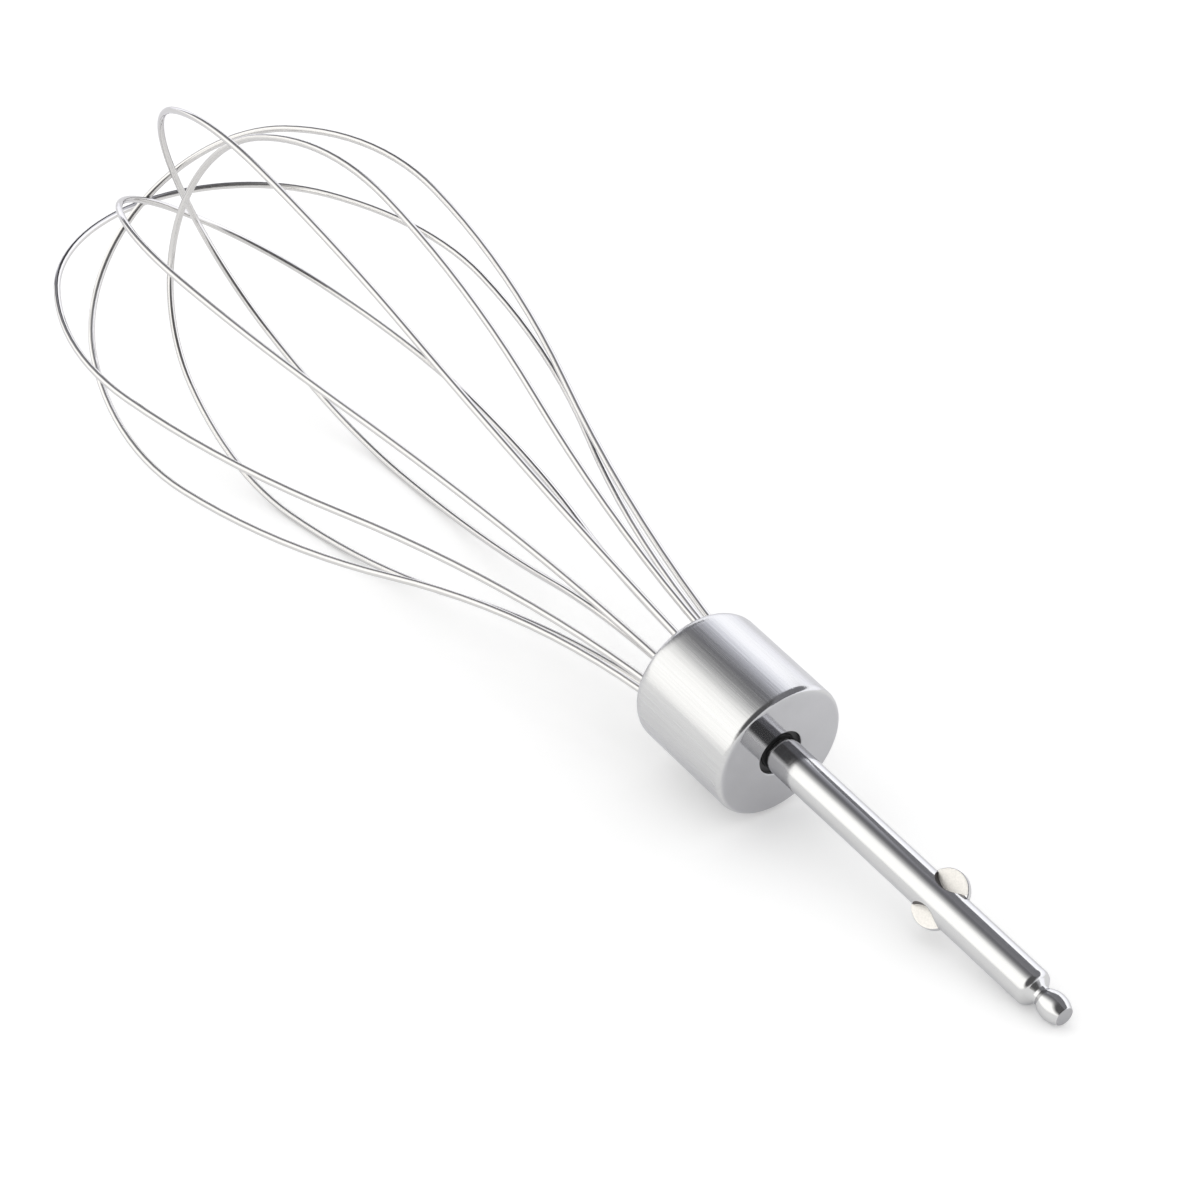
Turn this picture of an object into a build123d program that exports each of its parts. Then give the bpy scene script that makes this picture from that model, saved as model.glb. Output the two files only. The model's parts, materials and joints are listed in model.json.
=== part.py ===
"""Balloon whisk for a hand mixer: a drive shaft, a drawn steel cap and five wire loops.

The whisk lies as it comes to rest, on the bellies of two wires and the tip of its shaft.
On every plane that holds the whisk's axis, x runs along the axis from the cap's rear face
towards the wires, and y stands out from the axis.
"""

import os
from collections import namedtuple
from math import cos, radians, sin, sqrt

from build123d import *

os.makedirs("parts", exist_ok=True)

# Drive shaft, turned from rod
SHAFT_D = 7.0
SHAFT_BODY = 67.3         # from the cap's rear face to the end of the full diameter
SHAFT_SEAT = 11.0         # how far the full diameter runs into the wire holder
SHOULDER_EDGE_R = 1.5
SHOULDER_EDGE_ARC = 60.0
STUB_D = 5.5              # the inner end, which carries the retaining clip
STUB_CHAMFER = 0.5
STUB_PROUD = 0.9          # how far the stub stands past its clip

# Snap groove and rounded tip
NECK_D = 3.6
NECK_FLANK = 0.85         # from the rounded shoulder to the bottom of the groove
NECK_WIDTH = 0.65
TIP_D = 5.3
TIP_SWELL = 2.7           # from the groove to the tip's full width
TIP_SIDE_R = 4.75         # the round side from the full width to the nose
TIP_SIDE_ARC = 34.0
NOSE_EDGE_R = 0.45        # edge of the flat nose

# Drive wings, squeezed out of the rod between round punches
WING_MIDDLE = 43.5        # from the cap's rear face
WING_LENGTH = 8.3
WING_RISE = 2.6           # how far the wing stands out of the rod
SHORT_WING_LENGTH = 7.6   # the wing on the other side, squeezed out less far
SHORT_WING_RISE = 1.8
WING_THICKNESS = 1.15
WING_ROOT = 0.2           # how far a wing's corners lie under the rod's surface
WING_TURN = 50.0
WING_EDGE_R = 0.2
WING_SWELL = 0.06         # how much the rod swells between the wings
PUNCH_R = 4.6
PUNCH_SINK = 1.46         # how far the punches reach into the rod
PUNCH_STAGGER = 0.2       # how far they sit to either side of the wings' middle

# Cap, drawn from sheet
CAP_D = 27.0
CAP_LENGTH = 26.1
CAP_WALL = 0.8
CAP_EDGE_R = 0.4          # rear edge, inside the sheet
CAP_LIP_R = 2.4           # front lip, inside the sheet
CAP_HOLE_D = 9.0
CAP_HOLE_EDGE_R = 0.25

# Wire holder, moulded, which fills the cap
SEAT_GAP = 0.1
POCKET_GAP = 0.15
CLIP_RECESS_D = 11.0
CLIP_RECESS_DEPTH = 2.2

# Retaining clip on the stub
CLIP_D = 9.2
CLIP_THICKNESS = 0.8
CLIP_GROOVE_D = 4.6
CLIP_MOUTH = 3.9
CLIP_PLAY = 0.05

# Wire loops
WIRE_D = 1.4
ENTRY_R = 8.1             # where a strand leaves the holder's front face
STEM_LENGTH = 13.0        # the straight end of a strand, inside the holder
HOOK_R = 1.9
HOOK_LEG = 0.7

# A strand from the tip of its loop: three arcs, and a fourth that runs in to the holder
CROWN_R = 34.15
CROWN_ARC = 60.9
FLANK_R = 67.9
FLANK_ARC = 36.0
WAIST_R = 222.5
WAIST_ARC = 14.4

# The loops are bent by hand and are all a little different. Each has its turn about the axis,
# its reach, how far its tip is shifted and tipped in its own plane, how far that plane leans,
# and how full its two strands are
Loop = namedtuple("Loop", "turn reach shift tip lean full_a full_b")
LOOPS = [
    Loop(51.9, 204.7, -7.1, -3.05, -0.25, 1.013, 0.999),
    Loop(16.9, 190.4, -2.7, -1.0, 1.6, 0.961, 0.928),
    Loop(-17.1, 202.5, 2.05, -2.7, -0.65, 0.877, 1.115),
    Loop(-53.8, 203.5, -6.1, -3.2, 1.65, 0.825, 1.047),
    Loop(-90.1, 219.2, -4.4, -1.3, 4.75, 1.044, 1.090),
]
LYING_STRANDS = [(1, -1), (2, -1)]   # loop and side of the two strands that lie on the table

shaft_r = SHAFT_D / 2
stub_r = STUB_D / 2
neck_r = NECK_D / 2
tip_r = TIP_D / 2
groove_r = CLIP_GROOVE_D / 2
wire_r = WIRE_D / 2
cap_r = CAP_D / 2
holder_r = cap_r - CAP_WALL - SEAT_GAP
holder_rear = CAP_WALL + SEAT_GAP
holder_front = CAP_LENGTH - CAP_WALL - SEAT_GAP
clip_floor = holder_front - CLIP_RECESS_DEPTH
clip_seat = clip_floor + SEAT_GAP
stub_end = clip_seat + CLIP_THICKNESS + STUB_PROUD
wing_near = -WING_MIDDLE + WING_LENGTH / 2
wing_far = -WING_MIDDLE - WING_LENGTH / 2
neck_start = SHAFT_BODY + SHOULDER_EDGE_R * sin(radians(SHOULDER_EDGE_ARC)) + NECK_FLANK
tip_middle = neck_start + NECK_WIDTH + TIP_SWELL


def draw_shaft():
    """Half the shaft's outline: stub with its clip groove, rod, shoulder, snap groove and tip."""
    rod = Polyline(
        (stub_end, 0),
        (stub_end, stub_r - STUB_CHAMFER),
        (stub_end - STUB_CHAMFER, stub_r),
        (clip_seat + CLIP_THICKNESS + CLIP_PLAY, stub_r),
        (clip_seat + CLIP_THICKNESS + CLIP_PLAY, groove_r),
        (clip_seat - CLIP_PLAY, groove_r),
        (clip_seat - CLIP_PLAY, stub_r),
        (SHAFT_SEAT, stub_r),
        (SHAFT_SEAT, shaft_r),
        (wing_near, shaft_r),
    )
    swell = ThreePointArc(rod @ 1, (-WING_MIDDLE, shaft_r + WING_SWELL), (wing_far, shaft_r))
    shank = Line(swell @ 1, (-SHAFT_BODY, shaft_r))
    shoulder = JernArc(shank @ 1, (-1, 0), SHOULDER_EDGE_R, SHOULDER_EDGE_ARC)
    neck = Polyline(shoulder @ 1, (-neck_start, neck_r), (-neck_start - NECK_WIDTH, neck_r))
    TangentArc((-tip_middle, tip_r), neck @ 1, tangent=(1, 0))
    side = JernArc((-tip_middle, tip_r), (-1, 0), TIP_SIDE_R, TIP_SIDE_ARC)
    nose_edge = JernArc(side @ 1, side % 1, NOSE_EDGE_R, 90 - TIP_SIDE_ARC)
    Polyline(nose_edge @ 1, ((nose_edge @ 1).X, 0), rod @ 0)


def wing_crest(length, rise, side=1):
    """The crest of a wing, from the end nearer the cap, on one side of the axis."""
    root = side * (shaft_r - WING_ROOT)
    near = -WING_MIDDLE + length / 2
    return ThreePointArc((near, root), (-WING_MIDDLE, side * (shaft_r + rise)), (near - length, root))


def draw_cap():
    """Half the cap's sheet, from the hole in the rear face round to the edge of the front lip."""
    hole_edge = JernArc((CAP_HOLE_EDGE_R, CAP_HOLE_D / 2), (-1, 0), CAP_HOLE_EDGE_R, -90)
    face = Line(hole_edge @ 1, (0, cap_r - CAP_EDGE_R - CAP_WALL))
    edge = JernArc(face @ 1, (0, 1), CAP_EDGE_R + CAP_WALL, -90)
    barrel = Line(edge @ 1, (CAP_LENGTH - CAP_LIP_R - CAP_WALL, cap_r))
    lip = JernArc(barrel @ 1, (1, 0), CAP_LIP_R + CAP_WALL, -90)
    inner_lip = JernArc((CAP_LENGTH - CAP_WALL, cap_r - CAP_LIP_R - CAP_WALL), (0, 1), CAP_LIP_R, 90)
    inner_barrel = Line(inner_lip @ 1, (CAP_EDGE_R + CAP_WALL, cap_r - CAP_WALL))
    inner_edge = JernArc(inner_barrel @ 1, (-1, 0), CAP_EDGE_R, 90)
    inner_face = Line(inner_edge @ 1, (CAP_WALL, CAP_HOLE_D / 2))
    Line(lip @ 1, inner_lip @ 0)
    Line(inner_face @ 1, hole_edge @ 0)


def turned(plane, angle):
    """The plane turned about its own x axis."""
    return Plane(plane.location * Rot(angle, 0, 0))


def whisk_plane(tilt, roll, origin=(0, 0, 0)):
    """The plane of the whisk's axis when it lies with this tilt and roll."""
    x_dir = (cos(radians(tilt)), 0, sin(radians(tilt)))
    return turned(Plane(origin=origin, x_dir=x_dir, z_dir=(0, -1, 0)), roll)


def loop_plane(whisk, loop):
    """The plane of a loop, with its origin on the axis at the holder's front face."""
    plane = turned(whisk, loop.turn)
    return Plane(plane.location * Pos(holder_front, 0, 0) * Rot(0, loop.lean, 0))


def strand(plane, loop, side):
    """Draw the strand on one side of a loop, and give its straight end and its hook."""
    full = loop.full_a if side > 0 else loop.full_b
    heading = radians(90 + loop.tip)
    start = (loop.reach - holder_front, loop.shift)
    crown = JernArc(start, (side * cos(heading), side * sin(heading)), CROWN_R * full, side * CROWN_ARC)
    flank = JernArc(crown @ 1, crown % 1, FLANK_R * full, side * FLANK_ARC)
    waist = JernArc(flank @ 1, flank % 1, WAIST_R * full, side * WAIST_ARC)
    run_in = TangentArc(waist @ 1, (0, side * ENTRY_R), tangent=waist % 1)
    stem = Line(run_in @ 1, run_in @ 1 + (run_in % 1) * STEM_LENGTH)
    outward = plane.y_dir * side
    hook = JernArc(stem @ 1, stem % 1, HOOK_R, -side * (stem % 1).get_angle(outward))
    Line(hook @ 1, hook @ 1 + outward * HOOK_LEG)
    return stem, hook


def loop_path(whisk, loop, sides=(1, -1)):
    """The centre line of a loop or of one of its strands, and its straight ends and hooks."""
    plane = loop_plane(whisk, loop)
    with BuildLine(plane) as path:
        ends = [strand(plane, loop, side) for side in sides]
    return path, ends


def lying_heights(tilt, roll):
    """Lowest height of the shaft and cap, and of each strand that the whisk lies on."""
    with BuildLine(whisk_plane(tilt, 180)) as underside:
        draw_shaft()
        draw_cap()
    strands = []
    for index, side in LYING_STRANDS:
        path, _ = loop_path(whisk_plane(tilt, roll), LOOPS[index], [side])
        strands.append(path.line.bounding_box().min.Z - wire_r)
    return underside.line.bounding_box().min.Z, strands


def lay_down(tilt=9.0, roll=0.0, step=0.01, rounds=8):
    """The tilt and roll at which both strands and the shaft's tip or the cap touch the table."""
    def misses(tilt, roll):
        rear, strands = lying_heights(tilt, roll)
        return [height - rear for height in strands]

    for _ in range(rounds):
        here = misses(tilt, roll)
        by_tilt = [(there - miss) / step for there, miss in zip(misses(tilt + step, roll), here)]
        by_roll = [(there - miss) / step for there, miss in zip(misses(tilt, roll + step), here)]
        scale = by_tilt[0] * by_roll[1] - by_tilt[1] * by_roll[0]
        tilt -= (here[0] * by_roll[1] - here[1] * by_roll[0]) / scale
        roll -= (by_tilt[0] * here[1] - by_tilt[1] * here[0]) / scale
    return tilt, roll


def origin_in_the_middle(tilt, roll):
    """The place of the cap's rear face that puts the whisk's box on the table, centred."""
    whisk = whisk_plane(tilt, roll)
    boxes = [loop_path(whisk, loop)[0].line.bounding_box() for loop in LOOPS]
    with BuildLine(whisk_plane(tilt, 0)) as upper_side:
        draw_shaft()
    rear = upper_side.line.bounding_box().min.X
    front = max(box.max.X for box in boxes) + wire_r
    right = min(box.min.Y for box in boxes)
    left = max(box.max.Y for box in boxes)
    table, _ = lying_heights(tilt, roll)
    return Vector(-(rear + front) / 2, -(right + left) / 2, -table)


def across(whisk, distance):
    """The plane square to the axis at a distance along it."""
    return Plane(whisk.from_local_coords((distance, 0, 0)), x_dir=whisk.y_dir, z_dir=whisk.x_dir)


tilt, roll = lay_down()
whisk = whisk_plane(tilt, roll, origin_in_the_middle(tilt, roll))
axis = Axis(whisk.origin, whisk.x_dir)

# Both drive wings, as one plate from crest to crest through the rod
wings = turned(whisk, WING_TURN)

with BuildPart() as wing_plate:
    with BuildSketch(wings):
        with BuildLine():
            long_crest = wing_crest(WING_LENGTH, WING_RISE)
            short_crest = wing_crest(SHORT_WING_LENGTH, SHORT_WING_RISE, side=-1)
            Line(long_crest @ 1, short_crest @ 1)
            Line(short_crest @ 0, long_crest @ 0)
        make_face()
    extrude(amount=WING_THICKNESS / 2, both=True)
    crests = wing_plate.faces().filter_by(GeomType.CYLINDER)
    fillet(crests.edges().filter_by(GeomType.CIRCLE), WING_EDGE_R)

# Drive shaft: the rod with its stub, shoulder, snap groove and tip, punched flat beside the wings
punch_out = shaft_r - PUNCH_SINK + PUNCH_R

with BuildPart() as shaft:
    with BuildSketch(whisk):
        with BuildLine():
            draw_shaft()
        make_face()
    revolve(axis=axis)
    for face in (1, -1):
        with BuildSketch(wings.offset(face * WING_THICKNESS / 2)):
            with Locations((PUNCH_STAGGER - WING_MIDDLE, punch_out), (-PUNCH_STAGGER - WING_MIDDLE, -punch_out)):
                Circle(PUNCH_R)
        extrude(amount=face * shaft_r, mode=Mode.SUBTRACT)
    add(wing_plate.part)
shaft.part.label = "shaft"

# Cap
with BuildPart() as cap:
    with BuildSketch(whisk):
        with BuildLine():
            draw_cap()
        make_face()
    revolve(axis=axis)
cap.part.label = "cap"

# Wire holder: it fits the cap's inside, and a pocket holds the hooked end of each strand
pocket_r = wire_r + POCKET_GAP

with BuildPart() as wire_holder:
    with BuildSketch(whisk):
        with BuildLine():
            heel = JernArc((holder_rear, holder_r - CAP_EDGE_R + SEAT_GAP), (0, 1), CAP_EDGE_R - SEAT_GAP, -90)
            side = Line(heel @ 1, (holder_front - CAP_LIP_R + SEAT_GAP, holder_r))
            toe = JernArc(side @ 1, (1, 0), CAP_LIP_R - SEAT_GAP, -90)
            Polyline(
                toe @ 1,
                (holder_front, CLIP_RECESS_D / 2),
                (clip_floor, CLIP_RECESS_D / 2),
                (clip_floor, stub_r + SEAT_GAP),
                (SHAFT_SEAT + SEAT_GAP, stub_r + SEAT_GAP),
                (SHAFT_SEAT + SEAT_GAP, shaft_r + SEAT_GAP),
                (holder_rear, shaft_r + SEAT_GAP),
                heel @ 0,
            )
        make_face()
    revolve(axis=axis)
    for loop in LOOPS:
        plane = loop_plane(whisk, loop)
        _, ends = loop_path(whisk, loop)
        for side, (stem, hook) in zip((1, -1), ends):
            start = plane.to_local_coords(stem @ 0)
            end = plane.to_local_coords(stem @ 1)
            heel_x = plane.to_local_coords(hook @ 1).X - pocket_r
            slope = (end.Y - start.Y) / (end.X - start.X)
            floor_y = start.Y - side * pocket_r * sqrt(1 + slope ** 2)
            with BuildSketch(plane):
                Polygon(
                    (WIRE_D, floor_y + slope * (WIRE_D - start.X)),
                    (heel_x, floor_y + slope * (heel_x - start.X)),
                    (heel_x, side * cap_r),
                    (WIRE_D, side * cap_r),
                    align=None,
                )
            extrude(amount=pocket_r, both=True, mode=Mode.SUBTRACT)
wire_holder.part.label = "wire_holder"

# Retaining clip: an open ring in the stub's groove, seated in the holder's recess
with BuildPart() as retaining_clip:
    with BuildSketch(across(whisk, clip_seat)):
        Circle(CLIP_D / 2)
        Circle(groove_r + CLIP_PLAY, mode=Mode.SUBTRACT)
        with Locations((CLIP_D / 2, 0)):
            Rectangle(CLIP_D, CLIP_MOUTH, mode=Mode.SUBTRACT)
    extrude(amount=CLIP_THICKNESS)
retaining_clip.part.label = "retaining_clip"

pieces = [shaft.part, cap.part, wire_holder.part, retaining_clip.part]

# Wire loops: one round wire each, from hook to hook
for number, loop in enumerate(LOOPS, start=1):
    path, _ = loop_path(whisk, loop)
    spine = path.wire()
    with BuildPart() as wire_loop:
        with BuildSketch(spine ^ 0):
            Circle(wire_r)
        sweep(path=spine)
    wire_loop.part.label = f"wire_loop_{number}"
    pieces.append(wire_loop.part)

for piece in pieces:
    export_step(piece, f"parts/{piece.label}.step")
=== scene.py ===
"""Finishes, table, light and camera for a balloon whisk attachment of a hand mixer."""

import json
import math

import bpy
from bpy.props import FloatProperty, FloatVectorProperty, PointerProperty
from mathutils import Matrix, Vector

bl_info = {
    "name": "Mixer Whisk Attachment",
    "version": (1, 0, 0),
    "blender": (4, 5, 0),
    "location": "View3D > Sidebar > Whisk",
    "description": "Gives the packed whisk its finishes, a table, light and a camera",
    "category": "Object",
}

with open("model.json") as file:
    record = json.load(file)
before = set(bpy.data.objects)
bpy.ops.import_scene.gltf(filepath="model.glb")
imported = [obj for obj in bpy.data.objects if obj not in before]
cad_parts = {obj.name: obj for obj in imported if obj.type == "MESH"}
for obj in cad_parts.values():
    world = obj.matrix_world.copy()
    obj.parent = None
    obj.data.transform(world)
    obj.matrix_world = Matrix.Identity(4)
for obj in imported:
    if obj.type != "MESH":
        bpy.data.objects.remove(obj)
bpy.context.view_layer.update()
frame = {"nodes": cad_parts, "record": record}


# The whisk's own frame starts in the middle of the wings. X runs along the whisk to the wires,
# Y out along the larger wing, and Z square to the wings' flat faces.

wings = next(mount for mount in frame["record"]["mounts"] if mount["name"] == "drive_wings")
wings_place = Vector(wings["pos_m"])
whisk_axis = -Vector(wings["axis"]).normalized()

# An outer corner of the larger wing stands out at least this share of the furthest point's way.
outermost_share = 0.99


def points_of(node):
    """The points of a CAD node's mesh, from the middle of the wings."""
    return [vertex.co - wings_place for vertex in frame["nodes"][node].data.vertices]


def wing_direction():
    """Out from the axis along the larger wing, midway between its two outer corners."""
    offsets = [point - point.dot(whisk_axis) * whisk_axis for point in points_of("shaft")]
    furthest = max(offsets, key=lambda offset: offset.length)
    corners = [offset for offset in offsets
               if offset.dot(furthest) > 0
               and offset.length > outermost_share * furthest.length]
    return sum(corners, Vector()).normalized()


def rear_end(node):
    """Where the rear end of a CAD node lies along the whisk."""
    return min(point.dot(whisk_axis) for point in points_of(node))


wings_out = wing_direction()
whisk_turn = Matrix((whisk_axis, wings_out, whisk_axis.cross(wings_out))).transposed().to_euler()
cap_rear = rear_end("cap")
shaft_tip = rear_end("shaft")
wire_loops = sorted(name for name in frame["nodes"] if name.startswith("wire_loop"))


# Settings

def length_of(name, description, default):
    return FloatProperty(name=name, description=description, default=default, min=0,
                         precision=6, subtype="DISTANCE", unit="LENGTH")


def share_of(name, description, default):
    return FloatProperty(name=name, description=description, default=default, min=0, max=1,
                         subtype="FACTOR")


def strength_of(name, description, default):
    return FloatProperty(name=name, description=description, default=default, min=0)


def angle_of(name, description, degrees):
    return FloatProperty(name=name, description=description, default=math.radians(degrees),
                         subtype="ANGLE", unit="ROTATION")


def place_of(name, description, default):
    return FloatVectorProperty(name=name, description=description, default=default, size=3,
                               subtype="XYZ", unit="LENGTH")


def size_of(name, description, default):
    return FloatVectorProperty(name=name, description=description, default=default, min=0,
                               size=2, subtype="XYZ", unit="LENGTH")


def color_of(name, description, default):
    return FloatVectorProperty(name=name, description=description, default=default, min=0,
                               max=1, size=3, subtype="COLOR")


class ShaftFinish(bpy.types.PropertyGroup):
    """The polished drive shaft and the bare pressed faces of its wings."""
    steel: color_of("Steel", "Colour of the polished rod", (0.61, 0.61, 0.61))
    roughness: share_of("Roughness", "Roughness of the polished rod", 0.13)
    polish_grain: length_of("Polishing grain", "Spacing of the fine marks round the rod", 0.00025)
    relief: length_of("Relief", "Depth of the grit on the wings' pressed faces", 0.00003)
    dents: share_of("Dents", "Depth of the rod's faint dents, as a share of the relief", 0.06)
    rings: share_of("Rings", "Depth of the polishing marks, as a share of the relief", 0.025)
    pressed: color_of(
        "Pressed face", "Colour of the bare pressed faces of the wings", (0.82, 0.797, 0.76))
    pressed_roughness: share_of("Pressed roughness", "Roughness of the pressed faces", 0.5)
    face_height: length_of(
        "Face height", "How far a wing's flat face lies from the wings' middle plane", 0.000575)
    edge_radius: length_of(
        "Edge radius", "Rounding of the sharp edges round the punch marks", 0.00012)
    punch_radius: length_of(
        "Punch radius", "Radius of the round punches that squeezed the wings out", 0.0046)
    punch_height: length_of(
        "Punch height", "From the shaft's axis to the middle of a punch", 0.00664)
    punch_stagger: length_of(
        "Punch stagger", "How far the punches sit to either side of the wings' middle", 0.0002)
    # Painted shade: the punch walls are coloured near black, standing in for the shade inside the
    # punch marks.
    punch_wall_shade: color_of(
        "Punch wall", "Colour of the dull wall round a punch mark", (0.075, 0.07, 0.065))
    wall_reach: length_of(
        "Wall reach", "How far off a punch's circle the steel still counts as its wall", 0.00004)
    nose: color_of("Nose", "Colour of the ground flat on the tip", (0.43, 0.43, 0.44))
    nose_reach: length_of(
        "Nose reach", "How far in from the end the steel counts as the flat", 0.00012)
    dull_roughness: share_of("Dull roughness", "Roughness of the punch walls and the flat", 0.4)


class CapFinish(bpy.types.PropertyGroup):
    """The drawn steel cap."""
    steel: color_of("Steel", "Colour of the barrel", (0.60, 0.60, 0.60))
    barrel_roughness: share_of("Barrel roughness", "Roughness of the satin barrel", 0.24)
    polish_end: length_of("Polish end", "How far in from the rear the polish is whole", 0.0002)
    satin_start: length_of("Satin start", "How far in from the rear the satin is whole", 0.001)
    streak_width: length_of("Streak width", "Width of the drawing streaks", 0.0004)
    streak_length: length_of("Streak length", "Length of the drawing streaks", 0.02)
    relief: length_of("Relief", "Depth of the drawing streaks", 0.000014)
    edge_radius: length_of("Edge radius", "Rounding of the cap's sharp edges", 0.00012)
    # Painted shade: the rear face is coloured darker than the barrel, standing in for the shaded
    # table that it mirrors.
    face: color_of("Rear face", "Colour of the rear face", (0.50, 0.50, 0.515))
    face_roughness: share_of("Face roughness", "Roughness of the smoother rear face", 0.11)
    face_end: length_of(
        "Face end", "How far in from the rear the rear face's colour is whole", 0.00005)
    barrel_start: length_of(
        "Barrel start", "How far in from the rear the barrel's colour is whole", 0.0003)


class HolderFinish(bpy.types.PropertyGroup):
    """The black moulding inside the cap."""
    plastic: color_of("Plastic", "Colour of the moulding", (0.028, 0.028, 0.03))
    roughness: share_of("Roughness", "Roughness of the moulding", 0.5)
    grain: length_of("Grain", "Size of the fine spark grain of the mould", 0.0002)
    relief: length_of("Relief", "Depth of the spark grain", 0.00001)


class ClipFinish(bpy.types.PropertyGroup):
    """The spring steel clip on the inner end of the shaft."""
    steel: color_of("Steel", "Colour of the oiled spring steel", (0.35, 0.35, 0.37))
    roughness: share_of("Roughness", "Roughness of the clip", 0.35)
    mottle: length_of("Mottle", "Size of the patches on the oiled steel", 0.0012)
    relief: length_of("Relief", "Depth of the patches", 0.000005)


class WireFinish(bpy.types.PropertyGroup):
    """The bright drawn wire of the loops."""
    steel: color_of("Steel", "Colour of the wire", (0.63, 0.62, 0.61))
    roughness: share_of("Roughness", "Roughness of the wire", 0.08)
    grain_length: length_of(
        "Grain length", "Length along the whisk of the faint marks on the wire", 0.0024)
    grain_width: length_of("Grain width", "Width of the faint marks on the wire", 0.0006)
    relief: length_of("Relief", "Depth of the faint marks", 0.000002)


class StageSettings(bpy.types.PropertyGroup):
    """The table and the studio round it."""
    table: color_of("Table", "Colour of the table", (0.96, 0.96, 0.96))
    table_lift: strength_of(
        "Table lift", "How much whiter than its own light the table is seen", 0.14)
    table_size: length_of("Table size", "Width of the table", 6)
    daylight: strength_of("Room light", "Strength of the even light of the room", 1)
    softboxes: strength_of(
        "Softboxes", "How bright the softboxes are where metal mirrors them", 1.65)
    dark_room: color_of(
        "Dark room", "How metal sees the dark room behind the camera", (0.118, 0.117, 0.12))
    dark_side: FloatVectorProperty(
        name="Dark side", description="Direction of the dark room's middle",
        default=(-0.75, 0.2, 0.63), size=3, subtype="DIRECTION")
    dark_angle: angle_of(
        "Dark room angle", "From the dark room's middle to where it starts to fade", 31)
    dark_fade: angle_of("Dark room fade", "Width of the dark room's soft edge", 21)
    shaft_card_color: color_of(
        "Shaft card colour", "How metal sees the card along the shaft", (0.22, 0.22, 0.24))
    shaft_card: place_of(
        "Shaft card", "Low corner of the upright card along the shaft", (-0.2022, -0.03, 0.0186))
    shaft_card_size: size_of(
        "Shaft card size", "Length and height of the card along the shaft", (0.15, 0.15))
    wire_card_color: color_of(
        "Wire card colour", "How metal sees the card beyond the wires", (0.06, 0.06, 0.07))
    wire_card: place_of(
        "Wire card", "Corner of the level card high up beyond the wires", (0.265, -0.29, 0.3))
    wire_card_size: size_of(
        "Wire card size", "Length and width of the card beyond the wires", (0.7, 0.19))


# Width in millimetres of the picture that the camera's focal length is given for
picture_width = 36


class CameraSettings(bpy.types.PropertyGroup):
    """The camera's place, as it was fitted to the photograph."""
    aim: place_of(
        "Aim", "Point on the table that the camera looks at", (0.005098, -0.012862, 0))
    distance: length_of("Distance", "From the aim to the camera", 0.80278)
    azimuth: angle_of("Azimuth", "Looking direction, clockwise from +Y", 125.39)
    elevation: angle_of("Looking down", "How far the camera looks down", 32.6985)
    roll: angle_of("Roll", "How far the camera leans to its right", 1.68)
    lens: FloatProperty(
        name="Lens", description=f"Focal length for a picture {picture_width} mm wide",
        default=126.5, subtype="DISTANCE_CAMERA", unit="CAMERA")


class WhiskSettings(bpy.types.PropertyGroup):
    """Everything that a user would change."""
    shaft: PointerProperty(type=ShaftFinish)
    cap: PointerProperty(type=CapFinish)
    holder: PointerProperty(type=HolderFinish)
    clip: PointerProperty(type=ClipFinish)
    wire: PointerProperty(type=WireFinish)
    stage: PointerProperty(type=StageSettings)
    camera: PointerProperty(type=CameraSettings)


# Materials

# Blender's noise seldom leaves this range.
noise_low, noise_high = 0.3, 0.7


class Wiring:
    """The nodes of a material or of the world, and the ways to join them."""

    def __init__(self, owner):
        owner.use_nodes = True
        self.nodes = owner.node_tree.nodes
        self.links = owner.node_tree.links

    def put(self, socket, value):
        """Sets a socket to a value or joins it to another node's output."""
        if isinstance(value, bpy.types.NodeSocket):
            self.links.new(value, socket)
        else:
            socket.default_value = value

    def math(self, operation, first, second=0.0, third=0.0, clamp=False):
        node = self.nodes.new("ShaderNodeMath")
        node.operation = operation
        node.use_clamp = clamp
        for socket, value in zip(node.inputs, (first, second, third)):
            self.put(socket, value)
        return node.outputs[0]

    def split(self, vector):
        """A vector's X, Y and Z."""
        node = self.nodes.new("ShaderNodeSeparateXYZ")
        self.put(node.inputs[0], vector)
        return node.outputs

    def between(self, value, low, high, to_low, to_high):
        """Takes a value from one range to another and keeps it inside."""
        node = self.nodes.new("ShaderNodeMapRange")
        for socket, number in zip(node.inputs, (value, low, high, to_low, to_high)):
            self.put(socket, number)
        return node.outputs[0]

    def mix_colors(self, factor, first, second, blend="MIX"):
        """Mixes two colours: 6, 7 and the output 2 are the Mix node's sockets for colours."""
        node = self.nodes.new("ShaderNodeMix")
        node.data_type = "RGBA"
        node.blend_type = blend
        self.put(node.inputs[0], factor)
        for socket, value in ((node.inputs[6], first), (node.inputs[7], second)):
            self.put(socket, value if isinstance(value, bpy.types.NodeSocket) else (*value, 1))
        return node.outputs[2]

    def mix(self, factor, first, second):
        """Mixes two numbers: 2, 3 and the output 0 are the Mix node's sockets for numbers."""
        node = self.nodes.new("ShaderNodeMix")
        for socket, value in ((node.inputs[0], factor), (node.inputs[2], first),
                              (node.inputs[3], second)):
            self.put(socket, value)
        return node.outputs[0]

    def seen_by(self, *rays):
        """1 for the kinds of rays that are named and 0 for the others."""
        path = self.nodes.new("ShaderNodeLightPath")
        seen = 0.0
        for ray in rays:
            seen = self.math("ADD", seen, path.outputs[f"Is {ray} Ray"], clamp=True)
        return seen


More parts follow.
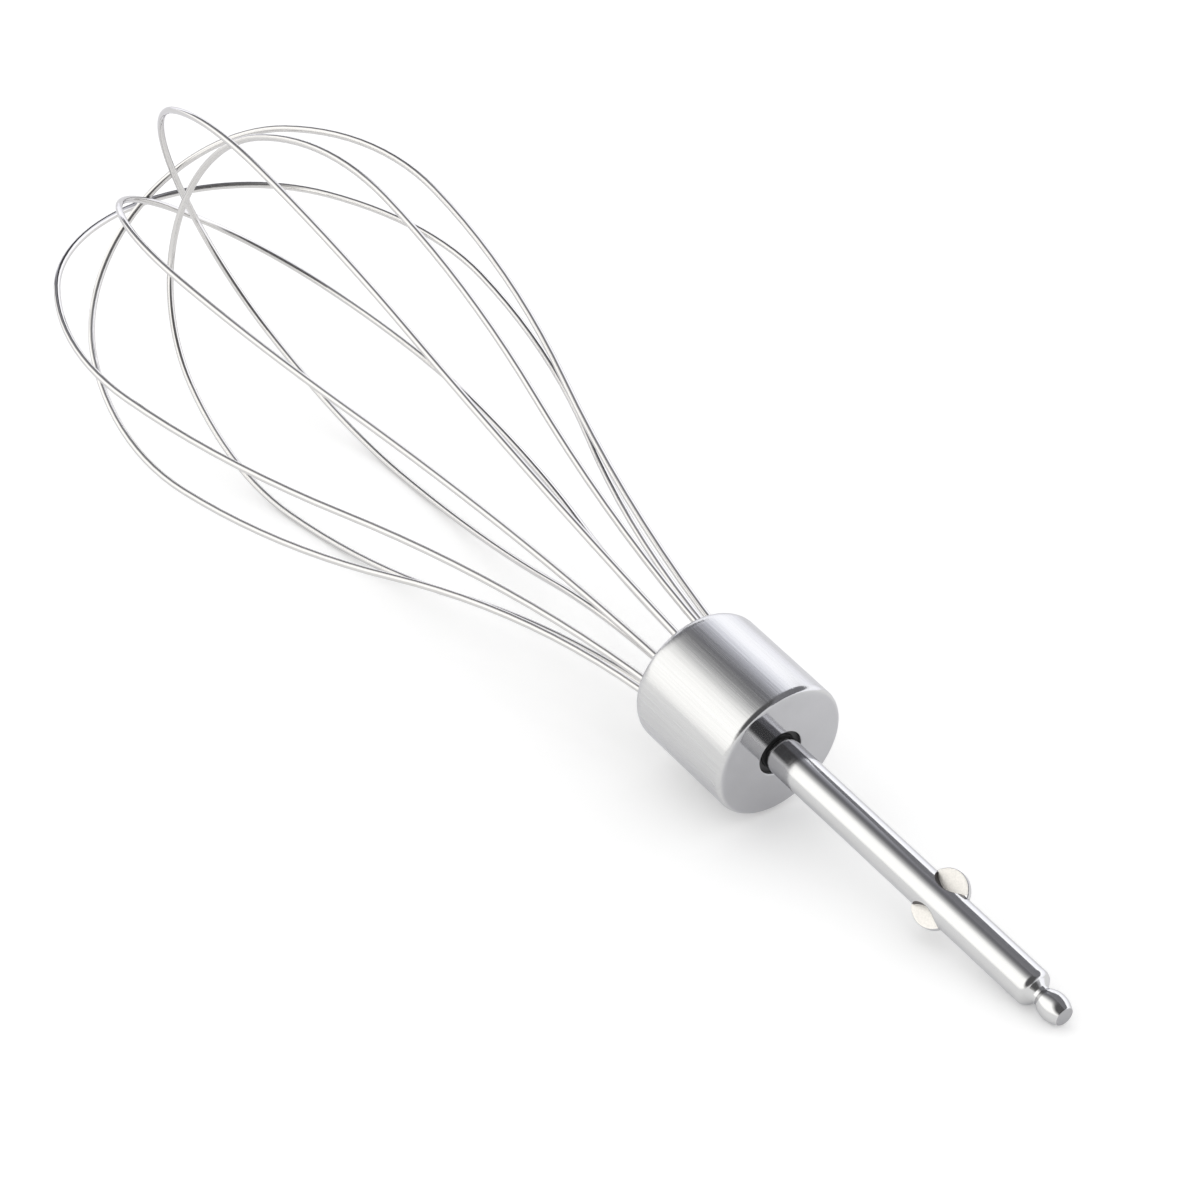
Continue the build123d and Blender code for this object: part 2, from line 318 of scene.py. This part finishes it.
class Finish(Wiring):
    """One node material, built up by its methods."""

    def __init__(self, name, color, roughness, metallic=1.0):
        self.material = bpy.data.materials.new(name)
        super().__init__(self.material)
        self.material.diffuse_color = (*color, 1)
        self.shader = self.nodes["Principled BSDF"]
        self.set(base_color=(*color, 1), roughness=roughness, metallic=metallic)

    def set(self, **sockets):
        """Sets or joins the shader's sockets, named in small letters with underscores."""
        for name, value in sockets.items():
            self.put(self.shader.inputs[name.replace("_", " ").title()], value)

    def place(self, scale=(1, 1, 1)):
        """A point on the piece in the whisk's own frame, stretched by a scale."""
        coordinate = self.nodes.new("ShaderNodeTexCoord")
        mapping = self.nodes.new("ShaderNodeMapping")
        mapping.vector_type = "TEXTURE"
        mapping.inputs["Location"].default_value = wings_place
        mapping.inputs["Rotation"].default_value = whisk_turn
        mapping.inputs["Scale"].default_value = scale
        self.links.new(coordinate.outputs["Object"], mapping.inputs["Vector"])
        return mapping.outputs[0]

    def noise(self, along, across=None, detail=2.0, roughness=0.5):
        """Noise with a grain of one size along the whisk and, where given, another across it."""
        across = across or along
        node = self.nodes.new("ShaderNodeTexNoise")
        node.inputs["Scale"].default_value = 1
        node.inputs["Detail"].default_value = detail
        node.inputs["Roughness"].default_value = roughness
        self.links.new(self.place((along, across, across)), node.inputs["Vector"])
        return node.outputs["Fac"]

    def varied(self, noise, value, least, most):
        """A number that follows a noise from one share of itself to another."""
        return self.between(noise, noise_low, noise_high, value * least, value * most)

    def mottled(self, noise, color, darkest, lightest):
        """A colour that follows a noise from one shade of itself to another."""
        dark, light = (tuple(channel * share for channel in color)
                       for share in (darkest, lightest))
        return self.mix_colors(noise, dark, light)

    def bump(self, height, depth, normal=None):
        """Relief of a real depth in metres."""
        node = self.nodes.new("ShaderNodeBump")
        node.inputs["Strength"].default_value = 1
        node.inputs["Distance"].default_value = depth
        self.put(node.inputs["Height"], height)
        if normal:
            self.put(node.inputs["Normal"], normal)
        return node.outputs[0]

    def rounded_edges(self, radius):
        node = self.nodes.new("ShaderNodeBevel")
        node.samples = 6
        node.inputs["Radius"].default_value = radius
        return node.outputs[0]

    def cover(self, *names):
        """Puts the finish on CAD nodes."""
        for name in names:
            frame["nodes"][name].data.materials.clear()
            frame["nodes"][name].data.materials.append(self.material)


class SteelFinish(Finish):
    """A finish of bare metal, which mirrors a little less where it turns away."""

    def __init__(self, name, color, roughness):
        super().__init__(name, color, roughness)
        self.set(specular_tint=(0.82, 0.82, 0.85, 1))


class WHISK_OT_finish_shaft(bpy.types.Operator):
    """Polish the shaft and leave the pressed faces of its wings bare"""
    bl_idname = "whisk.finish_shaft"
    bl_label = "Finish Shaft"
    bl_options = {"REGISTER", "UNDO"}

    def execute(self, context):
        look = context.scene.whisk.shaft
        finish = SteelFinish("polished_steel", look.steel, look.roughness)
        spot = finish.split(finish.place())
        pressed, wall = self.punch_marks(finish, look, spot)
        nose = finish.math("LESS_THAN", spot["X"], shaft_tip + look.nose_reach)
        rings = finish.noise(along=look.polish_grain, across=0.004, detail=3)
        cloud = finish.noise(along=0.006, across=0.003)
        dents = finish.noise(along=0.0012, across=0.0008, detail=4, roughness=0.6)
        grit = finish.noise(along=0.00035, detail=3, roughness=0.7)
        steel = finish.mottled(cloud, look.steel, darkest=0.96, lightest=1.02)
        bare = finish.mottled(grit, look.pressed, darkest=0.78, lightest=1.15)
        # Painted shade: the punch walls take the near-black punch wall colour over the polished
        # and pressed steel.
        punched = finish.mix_colors(wall, finish.mix_colors(pressed, steel, bare), look.punch_wall_shade)
        polish = finish.varied(rings, look.roughness, least=0.8, most=1.25)
        dull = finish.mix(finish.math("MAXIMUM", wall, nose), polish, look.dull_roughness)
        ripple = finish.math("MULTIPLY_ADD", dents, look.dents,
                             finish.math("MULTIPLY", rings, look.rings))
        relief = finish.mix(pressed, ripple, grit)
        finish.set(
            base_color=finish.mix_colors(nose, punched, look.nose),
            roughness=finish.mix(pressed, dull, look.pressed_roughness),
            normal=finish.bump(relief, look.relief, finish.rounded_edges(look.edge_radius)),
        )
        finish.cover("shaft")
        return {"FINISHED"}

    def punch_marks(self, finish, look, spot):
        """1 on the wings' pressed faces, and 1 on the walls that the round punches left."""
        slack = look.face_height / 20
        off_face = finish.math("SUBTRACT", finish.math("ABSOLUTE", spot["Z"]), look.face_height)
        on_face = finish.math("LESS_THAN", finish.math("ABSOLUTE", off_face), slack)
        over_face = finish.math("GREATER_THAN", off_face, slack)
        stagger = finish.math("MULTIPLY", finish.math("SIGN", spot["Y"]), look.punch_stagger)
        beside = finish.math("SUBTRACT", spot["X"], stagger)
        below = finish.math("SUBTRACT", finish.math("ABSOLUTE", spot["Y"]), look.punch_height)
        squares = finish.math("ADD", finish.math("MULTIPLY", beside, beside),
                              finish.math("MULTIPLY", below, below))
        from_punch = finish.math("SQRT", squares)
        under_punch = finish.math("LESS_THAN", from_punch, look.punch_radius)
        off_wall = finish.math("ABSOLUTE",
                               finish.math("SUBTRACT", from_punch, look.punch_radius))
        by_wall = finish.math("LESS_THAN", off_wall, look.wall_reach)
        return (finish.math("MULTIPLY", on_face, under_punch),
                finish.math("MULTIPLY", by_wall, over_face))


class WHISK_OT_finish_cap(bpy.types.Operator):
    """Give the cap its satin barrel with drawing streaks and its smoother rear face"""
    bl_idname = "whisk.finish_cap"
    bl_label = "Finish Cap"
    bl_options = {"REGISTER", "UNDO"}

    def execute(self, context):
        look = context.scene.whisk.cap
        finish = SteelFinish("satin_steel", look.steel, look.barrel_roughness)
        along = finish.split(finish.place())["X"]
        barrel = finish.between(
            along, cap_rear + look.polish_end, cap_rear + look.satin_start, 0, 1)
        flat = finish.between(
            along, cap_rear + look.face_end, cap_rear + look.barrel_start, 1, 0)
        streaks = finish.noise(along=look.streak_length, across=look.streak_width, detail=4,
                               roughness=0.65)
        cloud = finish.noise(along=0.008, across=0.005, detail=3)
        satin = finish.varied(streaks, look.barrel_roughness, least=0.8, most=1.25)
        polish = finish.varied(cloud, look.face_roughness, least=0.85, most=1.15)
        steel = finish.mottled(streaks, look.steel, darkest=0.85, lightest=1.12)
        # Painted shade: the darker rear face colour stands in for the shaded table that the face
        # mirrors.
        face = finish.mottled(cloud, look.face, darkest=0.93, lightest=1.05)
        relief = finish.math("MULTIPLY", streaks, barrel)
        finish.set(
            base_color=finish.mix_colors(flat, steel, face),
            roughness=finish.mix(barrel, polish, satin),
            normal=finish.bump(relief, look.relief, finish.rounded_edges(look.edge_radius)),
        )
        finish.cover("cap")
        return {"FINISHED"}


class WHISK_OT_finish_holder(bpy.types.Operator):
    """Give the wire holder its black moulded plastic"""
    bl_idname = "whisk.finish_holder"
    bl_label = "Finish Wire Holder"
    bl_options = {"REGISTER", "UNDO"}

    def execute(self, context):
        look = context.scene.whisk.holder
        finish = Finish("black_plastic", look.plastic, look.roughness, metallic=0.0)
        grain = finish.noise(along=look.grain, detail=3, roughness=0.6)
        cloud = finish.noise(along=0.005)
        finish.set(
            base_color=finish.mottled(cloud, look.plastic, darkest=0.8, lightest=1.3),
            roughness=finish.varied(grain, look.roughness, least=0.85, most=1.15),
            normal=finish.bump(grain, look.relief),
        )
        finish.cover("wire_holder")
        return {"FINISHED"}


class WHISK_OT_finish_clip(bpy.types.Operator):
    """Give the retaining clip its dark spring steel"""
    bl_idname = "whisk.finish_clip"
    bl_label = "Finish Retaining Clip"
    bl_options = {"REGISTER", "UNDO"}

    def execute(self, context):
        look = context.scene.whisk.clip
        finish = SteelFinish("spring_steel", look.steel, look.roughness)
        mottle = finish.noise(along=look.mottle, detail=4, roughness=0.6)
        finish.set(
            base_color=finish.mottled(mottle, look.steel, darkest=0.75, lightest=1.2),
            roughness=finish.varied(mottle, look.roughness, least=0.8, most=1.3),
            normal=finish.bump(mottle, look.relief),
        )
        finish.cover("retaining_clip")
        return {"FINISHED"}


class WHISK_OT_finish_wires(bpy.types.Operator):
    """Give the wire loops their bright drawn wire"""
    bl_idname = "whisk.finish_wires"
    bl_label = "Finish Wire Loops"
    bl_options = {"REGISTER", "UNDO"}

    def execute(self, context):
        look = context.scene.whisk.wire
        finish = SteelFinish("bright_wire", look.steel, look.roughness)
        grain = finish.noise(along=look.grain_length, across=look.grain_width, detail=3)
        cloud = finish.noise(along=0.02, across=0.008)
        finish.set(
            base_color=finish.mottled(cloud, look.steel, darkest=0.96, lightest=1.03),
            roughness=finish.varied(grain, look.roughness, least=0.8, most=1.3),
            normal=finish.bump(grain, look.relief),
        )
        finish.cover(*wire_loops)
        return {"FINISHED"}


# How bright metal mirrors the ceiling, as a share of a softbox, by the degrees that a direction
# leans from straight up to +Y. Two softboxes hang along the whisk, with a dark gap between them.
ceiling_stops = (
    (-88, (0.87, 0.87, 0.92)),
    (-72, (0.95, 0.96, 0.99)),
    (-60, (1.05, 1.05, 1.08)),
    (-48, (1.0, 1.01, 1.06)),
    (-37, (0.67, 0.68, 0.74)),
    (-24, (0.35, 0.355, 0.39)),
    (-15, (0.16, 0.16, 0.175)),
    (-7, (0.115, 0.115, 0.125)),
    (1, (0.145, 0.145, 0.15)),
    (8, (0.24, 0.24, 0.245)),
    (20, (0.48, 0.48, 0.48)),
    (32, (0.92, 0.915, 0.90)),
    (42, (1.03, 1.025, 1.005)),
    (80, (1.03, 1.025, 1.005)),
    (90, (0.8, 0.795, 0.78)),
)


class WHISK_OT_set_stage(bpy.types.Operator):
    """Lay the table and light the studio"""
    bl_idname = "whisk.set_stage"
    bl_label = "Set Stage"
    bl_options = {"REGISTER", "UNDO"}

    def execute(self, context):
        look = context.scene.whisk.stage
        context.scene.view_settings.view_transform = "Standard"
        self.lay_table(look)
        along_shaft = (math.pi / 2, -math.asin(whisk_axis.z), 0)
        self.hang_card("shaft_card", look.shaft_card, look.shaft_card_size, along_shaft,
                       look.shaft_card_color)
        level = (0, 0, 0)
        self.hang_card("wire_card", look.wire_card, look.wire_card_size, level,
                       look.wire_card_color)
        self.light_room(context, look)
        return {"FINISHED"}

    def lay_table(self, look):
        """Lays a table of pale paper, which shows a little whiter than the light makes it."""
        bpy.ops.object.select_all(action="DESELECT")
        bpy.ops.mesh.primitive_plane_add(size=look.table_size, location=(0, 0, 0))
        table = bpy.context.object
        table.name = "table"
        paper = Finish("table_paper", look.table, roughness=0.9, metallic=0.0)
        grain = paper.noise(along=0.0004)
        shown = paper.seen_by("Camera", "Glossy", "Transmission")
        paper.set(
            base_color=paper.mottled(grain, look.table, darkest=0.99, lightest=1.0),
            emission_color=(1, 1, 1, 1),
            emission_strength=paper.math("MULTIPLY", shown, look.table_lift),
        )
        paper.shader.inputs["Specular IOR Level"].default_value = 0.1
        table.data.materials.append(paper.material)

    def hang_card(self, name, corner, size, turn, color):
        """Hangs up a dark card that only reflections show, from one of its corners."""
        bpy.ops.object.select_all(action="DESELECT")
        bpy.ops.mesh.primitive_plane_add(size=1)
        card = bpy.context.object
        card.name = name
        card.data.transform(Matrix.Translation((0.5, 0.5, 0)))
        card.scale = (*size, 1)
        card.rotation_euler = turn
        card.location = corner
        card.visible_camera = card.visible_diffuse = False
        card.visible_shadow = card.visible_transmission = False
        black = Finish(name, (0.0, 0.0, 0.0), roughness=0.9, metallic=0.0)
        black.set(emission_color=(*color, 1), emission_strength=1.0)
        card.data.materials.append(black.material)

    def light_room(self, context, look):
        """Lights the room evenly, while metal mirrors the ceiling and a dark room."""
        world = bpy.data.worlds.new("studio")
        context.scene.world = world
        room = Wiring(world)
        direction = room.nodes.new("ShaderNodeTexCoord").outputs["Generated"]
        softboxes = room.mix_colors(1.0, self.ceiling(room, direction), (look.softboxes,) * 3,
                                    blend="MULTIPLY")
        mirrored = room.mix_colors(self.out_of_dark(room, direction, look), look.dark_room,
                                   softboxes)
        background = room.nodes["Background"]
        background.inputs["Strength"].default_value = look.daylight
        room.put(background.inputs["Color"],
                 room.mix_colors(room.seen_by("Glossy"), (1.0, 1.0, 1.0), mirrored))

    def ceiling(self, room, direction):
        """The ceiling's brightness in a direction, from its stops."""
        sides = room.split(direction)
        lean = room.math("ARCTAN2", sides["Y"], sides["Z"])
        node = room.nodes.new("ShaderNodeValToRGB")
        room.put(node.inputs[0], room.between(lean, -math.pi / 2, math.pi / 2, 0, 1))
        elements = node.color_ramp.elements
        while len(elements) < len(ceiling_stops):
            elements.new(1)
        for element, (degrees, color) in zip(elements, ceiling_stops):
            element.position = degrees / 180 + 0.5
            element.color = (*color, 1)
        return node.outputs[0]

    def out_of_dark(self, room, direction, look):
        """0 inside the dark room and 1 outside it, with its soft edge between."""
        towards = room.nodes.new("ShaderNodeVectorMath")
        towards.operation = "DOT_PRODUCT"
        room.put(towards.inputs[0], direction)
        towards.inputs[1].default_value = Vector(look.dark_side).normalized()
        return room.between(towards.outputs["Value"], math.cos(look.dark_angle + look.dark_fade),
                            math.cos(look.dark_angle), 1, 0)


class WHISK_OT_place_camera(bpy.types.Operator):
    """Put the camera where the photograph was taken from"""
    bl_idname = "whisk.place_camera"
    bl_label = "Place Camera"
    bl_options = {"REGISTER", "UNDO"}

    def execute(self, context):
        look = context.scene.whisk.camera
        data = bpy.data.cameras.new("camera")
        data.lens = look.lens
        data.sensor_width = picture_width
        camera = bpy.data.objects.new("camera", data)
        context.scene.collection.objects.link(camera)
        level = math.cos(look.elevation)
        forward = Vector((math.sin(look.azimuth) * level, math.cos(look.azimuth) * level,
                          -math.sin(look.elevation)))
        right = forward.cross(Vector((0, 0, 1))).normalized()
        right.rotate(Matrix.Rotation(look.roll, 3, forward))
        turn = Matrix((right, right.cross(forward), -forward)).transposed().to_4x4()
        place = Matrix.Translation(Vector(look.aim) - look.distance * forward)
        camera.matrix_world = place @ turn
        context.scene.camera = camera
        return {"FINISHED"}


class WHISK_PT_panel(bpy.types.Panel):
    """The whisk's camera, finishes and stage in the sidebar"""
    bl_label = "Mixer Whisk Attachment"
    bl_idname = "WHISK_PT_panel"
    bl_space_type = "VIEW_3D"
    bl_region_type = "UI"
    bl_category = "Whisk"

    def draw(self, context):
        for operator, group in steps:
            box = self.layout.box()
            box.operator(operator.bl_idname)
            settings = getattr(context.scene.whisk, group)
            for name in settings.__annotations__:
                box.prop(settings, name)


steps = (
    (WHISK_OT_place_camera, "camera"),
    (WHISK_OT_finish_shaft, "shaft"),
    (WHISK_OT_finish_cap, "cap"),
    (WHISK_OT_finish_holder, "holder"),
    (WHISK_OT_finish_clip, "clip"),
    (WHISK_OT_finish_wires, "wire"),
    (WHISK_OT_set_stage, "stage"),
)
groups = (ShaftFinish, CapFinish, HolderFinish, ClipFinish, WireFinish, StageSettings,
          CameraSettings, WhiskSettings)
classes = groups + tuple(operator for operator, group in steps) + (WHISK_PT_panel,)


def register():
    for item in classes:
        bpy.utils.register_class(item)
    bpy.types.Scene.whisk = PointerProperty(type=WhiskSettings)


def unregister():
    del bpy.types.Scene.whisk
    for item in reversed(classes):
        bpy.utils.unregister_class(item)


def main():
    register()
    bpy.ops.whisk.place_camera()
    bpy.ops.whisk.finish_shaft()
    bpy.ops.whisk.finish_cap()
    bpy.ops.whisk.finish_holder()
    bpy.ops.whisk.finish_clip()
    bpy.ops.whisk.finish_wires()
    bpy.ops.whisk.set_stage()


if __name__ == "__main__":
    main()
